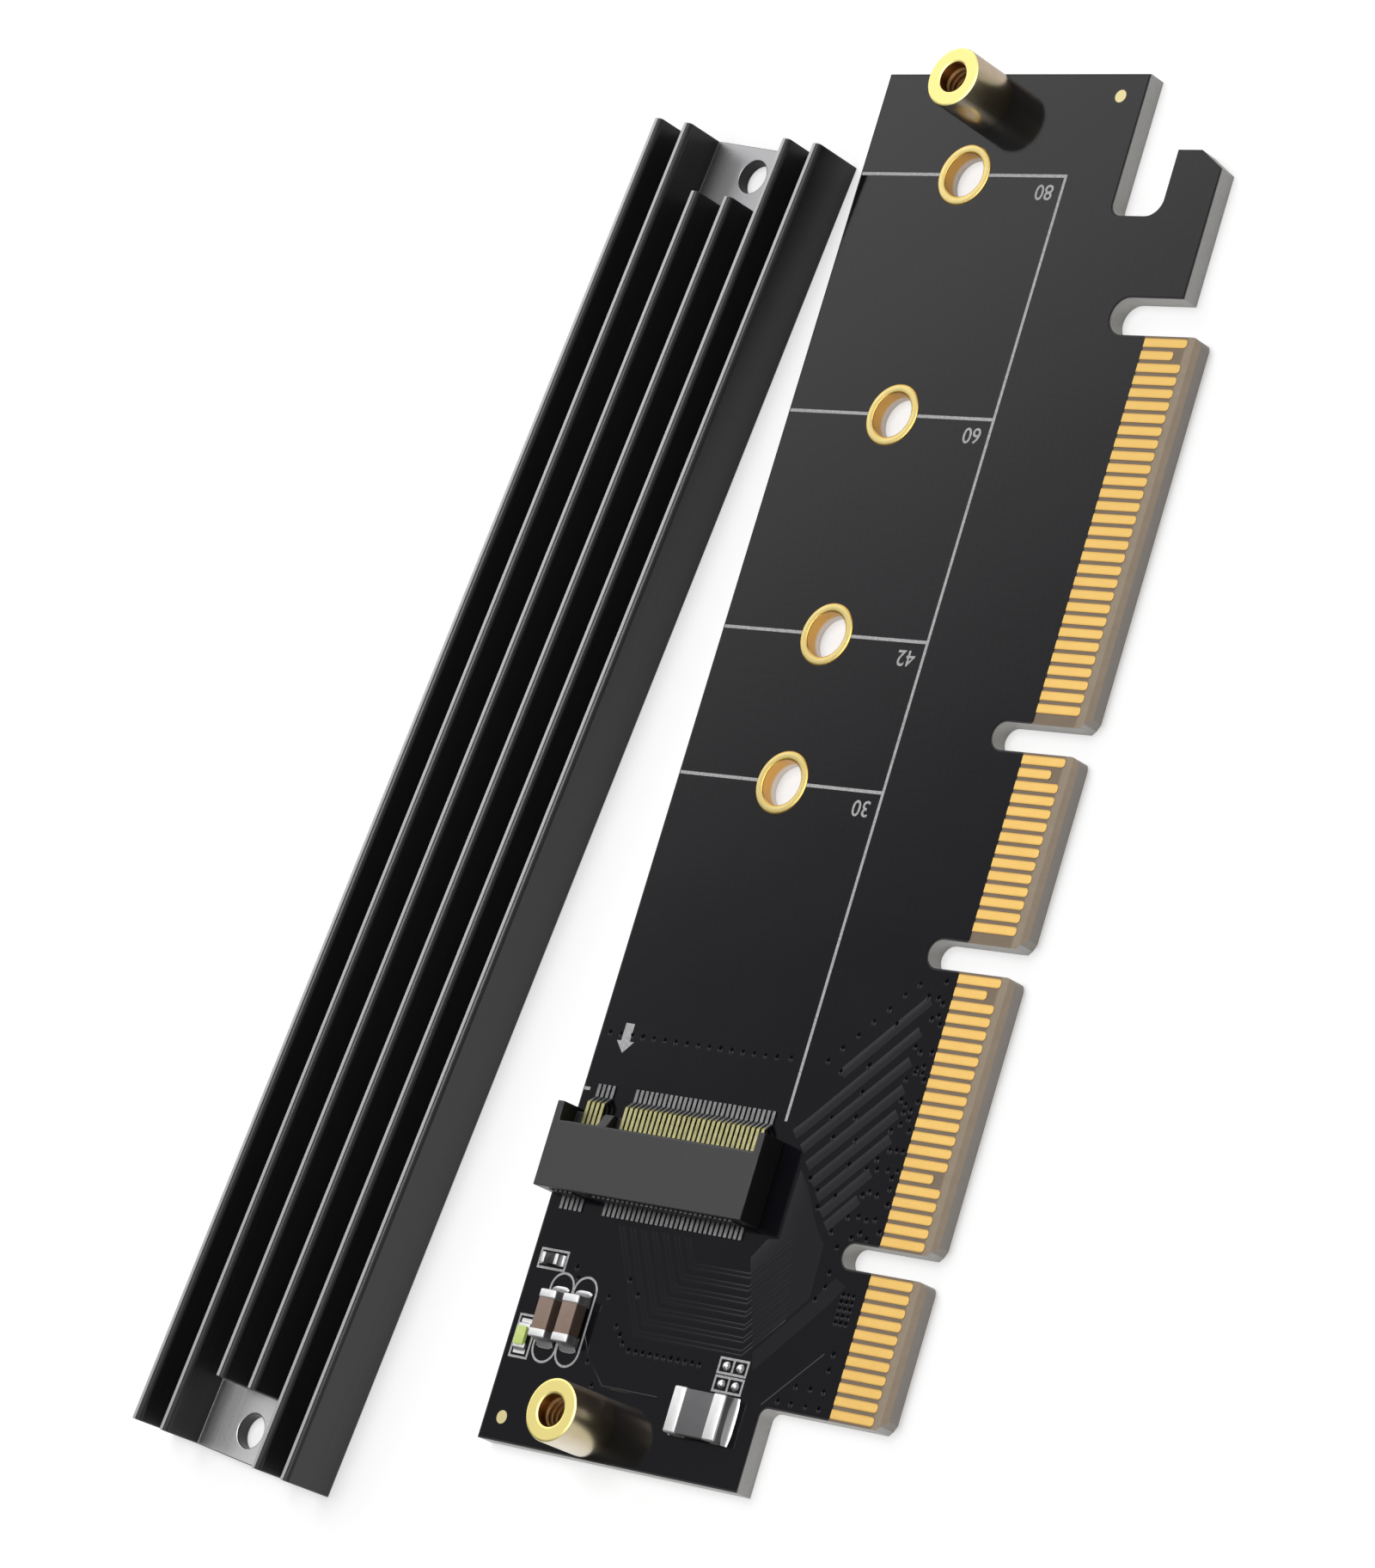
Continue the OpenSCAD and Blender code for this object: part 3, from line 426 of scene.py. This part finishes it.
class Shapes:
    """Collects corners and faces of one piece."""

    def __init__(self):
        self.verts, self.faces = [], []

    def put(self, verts, faces):
        start = len(self.verts)
        self.verts += [tuple(v) for v in verts]
        self.faces += [[i + start for i in f] for f in faces]

    def tube(self, rings, closed=False):
        """Joins rings of equal length, and caps both ends unless the row is closed."""
        n, k = len(rings[0]), len(rings)
        faces = []
        for a in range(k if closed else k - 1):
            b = (a + 1) % k
            faces += [[a * n + i, a * n + (i + 1) % n, b * n + (i + 1) % n, b * n + i]
                      for i in range(n)]
        if not closed:
            faces += [list(range(n))[::-1], [(k - 1) * n + i for i in range(n)]]
        self.put([v for ring in rings for v in ring], faces)

    def rib(self, line, width, height, slope=0.05):
        """A low ridge on the coating along a line, with sloping sides and mitred corners."""
        points = [Vector(p) for p in line]
        rings = []
        for i, p in enumerate(points):
            before = (p - points[i - 1] if i else points[1] - p).normalized()
            after = (points[i + 1] - p).normalized() if i < len(points) - 1 else before
            left, cosine = mitre(before, after)
            half = width / 2 / cosine
            rings.append([(*(p + left * half), TOP), (*(p + left * (half - slope)), TOP + height),
                          (*(p - left * (half - slope)), TOP + height), (*(p - left * half), TOP)])
        self.tube(rings)

    def sheet(self, outline, height, slope=0.1):
        """A low plateau on the coating inside an outline, with sloping sides."""
        points = [Vector(p) for p in outline]
        inner = []
        for i, p in enumerate(points):
            left, cosine = mitre((p - points[i - 1]).normalized(),
                                 (points[(i + 1) % len(points)] - p).normalized())
            inner.append(p + left * slope / cosine)
        self.tube([[(*p, TOP) for p in points], [(*p, TOP + height) for p in inner]])

    def turned(self, x, profile, count=96):
        """A closed profile of (radius, z) turned about the axis at x on the module line."""
        rings = []
        for i in range(count):
            a = math.tau * i / count
            rings.append([(x + r * math.cos(a), MODULE_LINE + r * math.sin(a), z)
                          for r, z in profile])
        self.tube(rings, closed=True)

    def brick(self, low, high, edge, steps=3):
        """A block with rounded edges."""
        bm = bmesh.new()
        bmesh.ops.create_cube(bm, size=1.0)
        size = [h - l for l, h in zip(low, high)]
        for v in bm.verts:
            v.co = Vector([l + (c + 0.5) * s for l, c, s in zip(low, v.co, size)])
        bmesh.ops.bevel(bm, geom=bm.edges[:], offset=edge, segments=steps, profile=0.5,
                        affect="EDGES")
        bm.verts.index_update()
        self.put([v.co[:] for v in bm.verts], [[v.index for v in f.verts] for f in bm.faces])
        bm.free()

    def placed(self, middle, turn):
        """Turns the shape by these degrees and moves it from the origin to its middle."""
        c, s = math.cos(math.radians(turn)), math.sin(math.radians(turn))
        self.verts = [(middle[0] + x * c - y * s, middle[1] + x * s + y * c, z)
                      for x, y, z in self.verts]
        return self

    def make(self, name, material, slot, sharp=35.0, replaces=()):
        """Adds what was collected as one piece, with its faces turned outwards."""
        mesh = bpy.data.meshes.new(name)
        mesh.from_pydata([Vector(v) * M for v in self.verts], [], self.faces)
        bm = bmesh.new()
        bm.from_mesh(mesh)
        bmesh.ops.recalc_face_normals(bm, faces=bm.faces)
        bm.to_mesh(mesh)
        bm.free()
        add(name, mesh, material, sharp, replaces)


def softened(name, width, material):
    """Takes over a CAD node with a copy whose sharp edges are rounded by this width."""
    bm = bmesh.new()
    bm.from_mesh(nodes[name].data)
    bmesh.ops.remove_doubles(bm, verts=bm.verts, dist=1e-7)
    bmesh.ops.dissolve_limit(bm, angle_limit=0.01, verts=bm.verts, edges=bm.edges)
    sharp = [e for e in bm.edges if len(e.link_faces) == 2 and e.calc_face_angle() > 0.6]
    made = set(bmesh.ops.bevel(bm, geom=sharp, offset=width * M, segments=2, profile=0.5,
                               affect="EDGES", clamp_overlap=False)["faces"])
    bm.edges.index_update()
    border = [e.index for e in bm.edges if len({f in made for f in e.link_faces}) == 2]
    mesh = bpy.data.meshes.new(name + "_softened")
    bm.to_mesh(mesh)
    bm.free()
    add(name + "_softened", mesh, material, 50.0, (name,))
    # The flats stay flat beside their rounded edges
    for index in border:
        mesh.edges[index].use_edge_sharp = True


softened("heatsink", 0.1, "anodised")
softened("socket_housing", 0.06, "nylon")


# ---------------------------------------------------------------- standoffs and rings

def standoff(name, x):
    """A turned standoff with chamfered ends, and a thread that winds down its bore."""
    s = Shapes()
    shank, foot_bore, chamfer, beside = 1.9, 1.4, 0.15, 0.05
    outer, inner = POST_EDGE - chamfer, POST_BORE + chamfer
    # The rings just inside the chamfers keep the end face flat
    s.turned(x, [
        (foot_bore, 0.0), (shank, 0.0), (shank, TOP), (POST_EDGE, TOP),
        (POST_EDGE, POST_TOP - chamfer), (POST_EDGE - 0.04, POST_TOP - beside),
        (outer, POST_TOP), (outer - beside, POST_TOP), (inner + beside, POST_TOP),
        (inner, POST_TOP), (POST_BORE + 0.04, POST_TOP - beside),
        (POST_BORE, POST_TOP - chamfer), (POST_BORE, chamfer)], 128)
    start, length, pitch, around, depth = 0.3, 5.1, 0.5, 32, 0.2
    root, steps, rings = POST_BORE + 0.01, length / pitch * around, []
    for i in range(int(steps)):
        a, z = math.tau * i / around, start + i * pitch / around
        crest = POST_BORE + 0.005 - depth * min(1.0, i / around, (steps - i) / around)
        rings.append([(x + r * math.cos(a), MODULE_LINE + r * math.sin(a), z + dz) for r, dz in
                      ((root, -0.17), (crest, -0.03), (crest, 0.03), (root, 0.17))])
    s.tube(rings)
    s.make(name + "_turned", "brass", "standoff_brass", 30.0, (name,))


for name, x in POSTS.items():
    standoff(name, x)

linings = Shapes()
for x in HOLES:
    # Lower lip, outside of the barrel, then the upper lip with its rounded corners
    linings.turned(x, [
        (1.84, 0.04), (1.9, 0.0), (2.48, 0.0), (2.53, 0.04), (1.94, 0.04), (1.94, 1.56),
        (2.53, 1.56), (2.53, 1.61), (2.49, 1.645), (2.42, 1.66), (1.95, 1.66), (1.88, 1.645),
        (1.84, 1.6)])
linings.make("module_rings", "lining", "gold", 40.0, ("module_hole_linings",))


# ---------------------------------------------------------------- small soldered parts

def fillets(length, width, reach, climb):
    """Solder at both ends of a small part, hollow, and lower toward its sides."""
    shapes = Shapes()
    across, down, overlap = 8, 7, 0.04
    for side in (-1, 1):
        rings = []
        for i in range(across + 1):
            y = (i / across - 0.5) * width * 1.02
            crown = 1.0 - 0.35 * abs(2 * i / across - 1) ** 4
            run, top = reach * crown, climb * crown
            foot = side * (length / 2 - overlap)
            ring = [(foot, y, LAND_TOP)]
            for t in [j / down for j in range(down + 1)]:
                out = run * (0.3 * t + 0.7 * (1 - math.cos(t * math.pi / 2)))
                drop = 0.3 * t + 0.7 * math.sin(t * math.pi / 2)
                ring.append((foot + side * (overlap + out), y, LAND_TOP + top * (1 - drop)))
            rings.append(ring)
        shapes.tube(rings)
    return shapes


def soldered(name, middle, turn, size, end, edge, body, slot, inset, reach, climb, low=1.0):
    """A body between two rounded metal ends, with a fillet of solder at each."""
    length, width, height = size
    base = LAND_TOP
    middle_block = Shapes()
    middle_block.brick((-length / 2 + end * 0.6, -width / 2 + inset, base + inset),
                       (length / 2 - end * 0.6, width / 2 - inset, base + height - inset),
                       edge * 0.7)
    middle_block.placed(middle, turn).make(name + "_shaped_body", body, slot, 40.0,
                                           (name + "_body",))
    ends = Shapes()
    for side in (-1, 1):
        near, far = sorted((side * length / 2, side * (length / 2 - end)))
        ends.brick((near, -width / 2, base), (far, width / 2, base + height * low), edge, 4)
    ends.placed(middle, turn).make(name + "_shaped_ends", "plating", "solder", 40.0,
                                   (name + "_ends",))
    fillets(length, width, reach, climb).placed(middle, turn).make(
        name + "_fillets", "land", "solder", 50.0)


# Middle, turn, (length, width, height), metal end, rounding, body's material and slot, how far
# the body stands in, reach and climb of the solder, and height of the ends as a share
SMALL_PARTS = {
    "outer_capacitor": ((-8.55, 34.5), 0, (3.75, 1.68, 1.3), 0.7, 0.13, "capacitor",
                        "ceramic_body", 0.05, 0.55, 0.75),
    "inner_capacitor": ((-8.55, 32.08), 0, (3.75, 1.68, 1.3), 0.7, 0.13, "capacitor",
                        "ceramic_body", 0.05, 0.55, 0.75),
    "fuse": ((-13.6, 16.9), 90, (5.15, 3.55, 1.2), 1.25, 0.16, "fuse", "fuse_plastic", 0.06,
             0.5, 0.5),
    "signal_lamp": ((-10.35, 36.9), 0, (1.9, 1.2, 0.55), 0.42, 0.06, "lamp", "lamp_lens", 0.1,
                    0.2, 0.2, 0.45),
    "resistor": ((-4.22, 36.23), 90, (1.7, 0.85, 0.45), 0.35, 0.05, "chip", "ceramic_body",
                 0.02, 0.2, 0.28),
}
for name, row in SMALL_PARTS.items():
    soldered(name, *row)


# ---------------------------------------------------------------- traces under the coating

runs, areas, lanes = Shapes(), Shapes(), Shapes()
# Nested runs from the socket's rear row, that turn towards the contacts
FIRST_RUN, INNER_ENDS = -8.7, -0.75
for i in range(14):
    x = FIRST_RUN + (i // 2) * 0.95 + (i % 2) * 0.34
    corner = 26.0 - 0.62 * (x - FIRST_RUN)
    foot = 15.1 + 0.24 * (x - FIRST_RUN)
    runs.rib([(INNER_ENDS, corner + (INNER_ENDS - x) * 0.577), (x, corner), (x, foot),
              (x + 3.2, foot - 3.2)], 0.25, 0.011, 0.09)
# Runs from the fuse's corner towards the key notch, and from the inner capacitor to the fuse
for line in ([(-11.9, 11.9), (-7.4, 7.4)],
             [(-9.4, 30.9), (-10.9, 29.9), (-12.9, 27.7), (-12.9, 22.0)]):
    runs.rib(line, 0.19, 0.018)
# Copper areas on both sides of the dark gap that runs to the key notch
for outline in ([(-8.0, 14.3), (-3.6, 10.35), (0.5, 10.5), (1.6, 11.6), (4.6, 13.6), (5.7, 14.7),
                 (0.4, 14.9), (0.4, 15.7), (-1.4, 17.0), (-3.4, 16.2)],
                [(-9.4, 13.6), (-8.3, 14.1), (-3.9, 10.1), (-1.9, 8.4), (-2.3, 7.4),
                 (-3.6, 8.3)]):
    areas.sheet(outline, 0.008)
# Pairs of runs from the socket's corner to the contacts
for line in ([(13.2, 13.5), (19.6, 7.2)], [(8.2, 16.3), (9.2, 15.2), (17.2, 7.3)],
             [(7.2, 15.2), (14.9, 7.4)], [(6.0, 14.2), (12.8, 7.3)], [(4.8, 13.3), (10.9, 7.2)],
             [(3.8, 12.4), (9.0, 7.2)], [(2.7, 11.6), (6.3, 8.1)], [(1.8, 10.8), (4.2, 8.5)]):
    lanes.rib(line, 0.84, 0.012, 0.3)
runs.make("raised_traces", "runs", "coating", 20.0)
areas.make("copper_areas", "copper", "coating", 20.0)
lanes.make("paired_traces", "lanes", "coating", 20.0)

# Vias beside the contacts and round the traces, then those that stand in rows
VIAS = [(19.95, 7.48), (19.91, 6.51), (19.56, 5.97), (18.32, 6.59), (18.61, 6.04), (17.97, 5.67),
        (16.09, 7.34), (15.75, 6.74), (15.85, 5.65), (14.49, 6.63), (14.74, 6.03), (14.17, 5.97),
        (14.19, 6.67), (13.61, 7.35), (13.71, 5.65), (12.03, 7.23), (11.72, 6.7), (12.07, 5.65),
        (11.35, 6.06), (11.15, 6.68), (10.76, 6.02), (10.26, 6.64), (9.84, 5.65), (9.67, 7.36),
        (8.23, 6.92), (8.27, 6.27), (7.43, 7.85), (8.27, 5.65), (6.74, 6.56), (6.69, 7.58),
        (6.59, 8.59), (6.22, 5.98), (6.79, 5.65), (5.42, 5.87), (4.96, 7.69), (4.64, 8.24),
        (4.81, 6.88), (4.23, 5.65), (2.85, 8.99), (3.03, 8.01), (2.87, 7.19), (3.01, 6.39),
        (1.84, 7.41), (1.46, 6.67), (1.39, 8.1), (1.58, 10.14), (0.53, 9.17), (2.14, 5.65),
        (4.4, 12.55), (5.2, 13.57), (4.22, 10.75), (3.19, 12.09), (10.22, 11), (12.14, 11.05),
        (9.9, 13.28), (8.53, 10.37), (6.66, 10.33), (8.49, 12.56), (13.44, 13.66), (17.55, 9.72),
        (14.19, 11.15), (14.1, 15.17), (15.21, 14.13), (17.5, 11.91), (16.32, 13), (19.82, 9.71),
        (18.61, 10.79), (13.9, 18.8), (20.75, 8.6), (-11.3, 10.5), (-11.3, 9.2), (-10, 9.2),
        (-11.3, 7.8), (-10, 7.8), (-11.3, 6.5), (-10, 6.5), (-3.5, 9.8), (-2.5, 9.2), (-1.4, 9.2),
        (-4.6, 28), (-5.6, 26.8), (-6.15, 29.6), (-11.2, 29.8), (-12.9, 28.7), (-5.2, 33.2),
        (-4.4, 33.6), (21.2, 6.2), (-8.4, 6.6), (-7.2, 6.6)]
VIAS += [(-9.8, 18.9 + 0.72 * i) for i in range(11)]
VIAS += [(-9.35, 26.9), (-8.8, 27.4), (-8.2, 28.0)]
VIAS += [(-4.9 + 0.52 * i, 6.3 + 0.5 * j) for i in range(5) for j in range(3)]
VIAS += [(13.8, 20.2 + 1.15 * i) for i in range(16)]


def dome_group():
    """Geometry nodes that set a flat dome on each point, with its width a little at random."""
    group = bpy.data.node_groups.new("domes_on_points", "GeometryNodeTree")
    for label, kind in (("Points", "Geometry"), ("Radius", "Float"), ("Rise", "Float"),
                        ("Seed", "Int"), ("Material", "Material")):
        group.interface.new_socket(label, in_out="INPUT", socket_type="NodeSocket" + kind)
    group.interface.new_socket("Domes", in_out="OUTPUT", socket_type="NodeSocketGeometry")
    new = group.nodes.new
    start, end = new("NodeGroupInput"), new("NodeGroupOutput")
    ball, chance = new("GeometryNodeMeshUVSphere"), new("FunctionNodeRandomValue")
    flatness, scale = new("ShaderNodeMath"), new("ShaderNodeCombineXYZ")
    place, real = new("GeometryNodeInstanceOnPoints"), new("GeometryNodeRealizeInstances")
    paint = new("GeometryNodeSetMaterial")
    ball.inputs["Segments"].default_value, ball.inputs["Rings"].default_value = 12, 6
    least, most = chance.inputs[2], chance.inputs[3]
    least.default_value, most.default_value = 0.85, 1.15
    flatness.operation = "DIVIDE"
    for source, target in (
            (start.outputs["Radius"], ball.inputs["Radius"]),
            (start.outputs["Seed"], chance.inputs["Seed"]),
            (start.outputs["Rise"], flatness.inputs[0]),
            (start.outputs["Radius"], flatness.inputs[1]),
            (chance.outputs[1], scale.inputs[0]),
            (chance.outputs[1], scale.inputs[1]),
            (flatness.outputs[0], scale.inputs[2]),
            (start.outputs["Points"], place.inputs["Points"]),
            (ball.outputs["Mesh"], place.inputs["Instance"]),
            (scale.outputs[0], place.inputs["Scale"]),
            (place.outputs["Instances"], real.inputs["Geometry"]),
            (real.outputs["Geometry"], paint.inputs["Geometry"]),
            (start.outputs["Material"], paint.inputs["Material"]),
            (paint.outputs["Geometry"], end.inputs["Domes"])):
        group.links.new(source, target)
    return group


def domes(name, points, material, radius, rise, seed):
    """A flat dome on the coating at each point, all as one piece."""
    mesh = bpy.data.meshes.new(name + "_points")
    mesh.from_pydata([(x * M, y * M, TOP * M) for x, y in points], [], [])
    source = bpy.data.objects.new(name + "_points", mesh)
    modifier = source.modifiers.new("domes", "NODES")
    modifier.node_group = DOMES
    values = {"Radius": radius * M, "Rise": rise * M, "Seed": seed,
              "Material": MATERIALS[material]}
    for item in DOMES.interface.items_tree:
        if item.in_out == "INPUT" and item.name in values:
            modifier[item.identifier] = values[item.name]
    add(name, plain_mesh(source, name), material)


DOMES = dome_group()
# Painted highlight and painted shade: each pale cap is set off towards the bracket end, so it shows
# as a lit rim on that side of the dark dot of painted shade in the middle
domes("capped_vias_painted_highlight", [(x - 0.2, y) for x, y in VIAS], "vias", 0.2, 0.02, 3)
domes("painted_via_shade", VIAS, "dimple_shade", 0.18, 0.03, 5)


# ---------------------------------------------------------------- size numbers

def number(text, x, y, height):
    """A plain number of this height, read along +Y, as thin ink on the coating."""
    share, half_ink, bolder = 0.69, 0.009, 0.012     # share: a digit's height in its font size
    curve = bpy.data.curves.new("number_" + text, "FONT")
    curve.body, curve.size, curve.extrude = text, height / share * M, half_ink * M
    curve.resolution_u, curve.offset = 4, bolder * M
    mesh = plain_mesh(bpy.data.objects.new("number_source", curve), "number_" + text)
    mesh.transform(Matrix.Translation(Vector((x, y, TOP + half_ink)) * M)
                   @ Matrix.Rotation(math.pi / 2, 4, "Z"))
    add("number_" + text, mesh, "print")


for text, x in zip(("30", "42", "60", "80"), HOLES):
    number(text, x - 0.75, 18.3, 1.25)


# ---------------------------------------------------------------- floor, light and camera

def floor_material():
    """Pale floor. Seen rays get it at white, and it keeps the shadow; its own light stays plain."""
    n = Net("pale_floor")
    path = n.node("ShaderNodeLightPath", {}, {}).out.node.outputs
    camera_ray, glossy, through = [Sock(n, path[f"Is {kind} Ray"])
                                   for kind in ("Camera", "Glossy", "Transmission")]
    matt = n.node("ShaderNodeBsdfDiffuse", {}, {"Color": (0.62, 0.62, 0.62, 1.0)})
    # In reflections it fades toward the hook end, where the fins' walls are darker
    fade = glossy * n.x.rise(-10.0, 95.0)
    glow = n.node("ShaderNodeEmission", {}, {"Color": (1.0, 1.0, 1.0, 1.0),
                                             "Strength": 0.5 - fade * 0.4})
    lit = n.node("ShaderNodeAddShader", {}, {0: matt, 1: glow})
    seen = (camera_ray + glossy + through).both(1.0)
    shader = n.node("ShaderNodeMixShader", {}, {0: seen, 1: matt, 2: lit})
    n.node("ShaderNodeOutputMaterial", {}, {"Surface": shader})
    return n.material


FLOOR_REACH, FLOOR_DROP = 6.0, 0.00002      # in metres; the drop keeps it just under the feet
mesh = bpy.data.meshes.new("floor")
mesh.from_pydata([(x * FLOOR_REACH, y * FLOOR_REACH, -FLOOR_DROP)
                  for x, y in ((-1, -1), (1, -1), (1, 1), (-1, 1))], [], [(0, 1, 2, 3)])
mesh.materials.append(floor_material())
floor = bpy.data.objects.new("floor", mesh)
bpy.context.scene.collection.objects.link(floor)


def light(name, toward, distance, size, power):
    """A soft square lamp that shines on the middle of the part from this direction."""
    data = bpy.data.lights.new(name, "AREA")
    data.shape, data.size, data.energy = "SQUARE", size, power
    obj = bpy.data.objects.new(name, data)
    away = Vector(toward).normalized()
    obj.location = Vector((0.035, 0.035, 0.0)) + away * distance
    obj.rotation_euler = away.to_track_quat("Z", "Y").to_euler()
    bpy.context.scene.collection.objects.link(obj)


light("lamp_over", (0.12, 0.12, 1.0), 1.1, 0.7, 6.3)
light("lamp_left", (-1.0, -0.25, 0.55), 1.3, 0.6, 2.5)

# The world is dim, with a bright patch low beyond the hook end that the glossy board mirrors
world = bpy.data.worlds.new("studio")
bpy.context.scene.world = world
n = Net("studio", world)
wx, wy, _ = n.split(n.node("ShaderNodeTexCoord", {}, {}, "Generated"))
level = (wx * 0.956 + wy).rise(0.81, 0.99) * 1.15 + 0.24
level = level.either(n.node("ShaderNodeLightPath", {}, {}, "Is Camera Ray"))
shade = n.node("ShaderNodeBackground", {}, {"Color": (1.0, 1.0, 1.0, 1.0), "Strength": level})
n.node("ShaderNodeOutputWorld", {}, {"Surface": shade})

# The photograph's camera: its place, and what is to its right, above and behind it
EYE = Vector((-56.154, -281.335, 328.587))
RIGHT, UP, BACK = ((0.284856, -0.724658, -0.627477), (0.938793, 0.078617, 0.335391),
                   (-0.193714, -0.684609, 0.702699))
camera = bpy.data.cameras.new("camera")
camera.sensor_fit, camera.sensor_width, camera.lens = "AUTO", 36.0, 139.278
camera.shift_x, camera.shift_y = -0.000456, -0.000884
camera.clip_start = 0.01
eye = bpy.data.objects.new("camera", camera)
eye.matrix_world = Matrix.Translation(EYE * M) \
    @ Matrix((RIGHT, UP, BACK)).transposed().to_4x4()
bpy.context.scene.collection.objects.link(eye)
bpy.context.scene.camera = eye
bpy.context.scene.view_settings.view_transform = "Standard"
